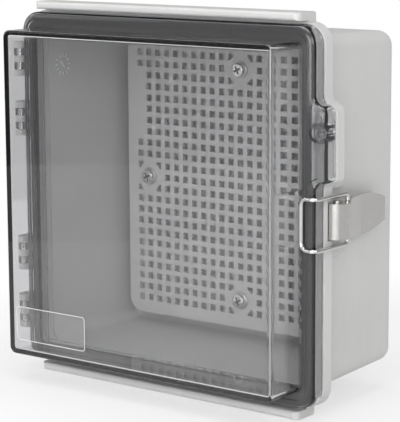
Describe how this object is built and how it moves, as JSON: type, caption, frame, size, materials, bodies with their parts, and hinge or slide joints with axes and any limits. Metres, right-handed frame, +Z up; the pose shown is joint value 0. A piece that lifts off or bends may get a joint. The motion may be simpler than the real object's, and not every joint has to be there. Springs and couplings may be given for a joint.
{
  "type": "hinged polycarbonate enclosure",
  "caption": "Square wall-mounted plastic enclosure with a deep clear cover on a side hinge, wire latch, padlock ear and perforated mounting panel.",
  "frame": {"origin": "centre of the flat back face that lies against the wall", "axes": "+Z up, -Y out of the clear cover, +X towards the latch side, hinges on the -X side"},
  "size_m": [0.326, 0.1734, 0.318],
  "materials": {
    "shell": "fine moulded texture",
    "clear_cover": "smoked clear polycarbonate",
    "seal": "foamed",
    "film": "clear film",
    "panel": "smooth moulded",
    "zinc": "zinc plated",
    "brass": "turned",
    "steel": "stainless, satin"
  },
  "bodies": {
    "box": {"base": "shell", "mounting_panel": "panel", "panel_screws": "zinc", "panel_washers": "zinc", "panel_inserts": "brass", "hinge_pins_upper": "steel", "hinge_pins_lower": "steel", "latch_bracket": "steel", "latch_rivets": "steel", "latch_pivot_pin": "steel", "latch_pivot_clips": "steel"},
    "lid": {"cover": "clear_cover", "cover_gasket": "seal", "label_film": "film"},
    "lever": {"latch_lever": "steel"},
    "wire": {"latch_bail": "steel"}
  },
  "joints": [
    {"name": "cover_hinge", "type": "hinge", "parent": "box", "child": "lid", "pos_m": [-0.157, -0.13, 0], "axis": [0, 0, -1], "range_deg": [0, 110]},
    {"name": "latch_lever_pivot", "type": "hinge", "parent": "box", "child": "lever", "pos_m": [0.1525, -0.107, -0.002], "axis": [0, 0, -1], "range_deg": [0, 90]},
    {"name": "latch_wire_pivot", "type": "hinge", "parent": "lever", "child": "wire", "pos_m": [0.155, -0.097, -0.002], "axis": [0, 0, -1], "range_deg": [-103, 0]}
  ],
  "couplings": [
    {"joint": "latch_wire_pivot", "follows": "latch_lever_pivot", "ratio": -1.1333}
  ]
}
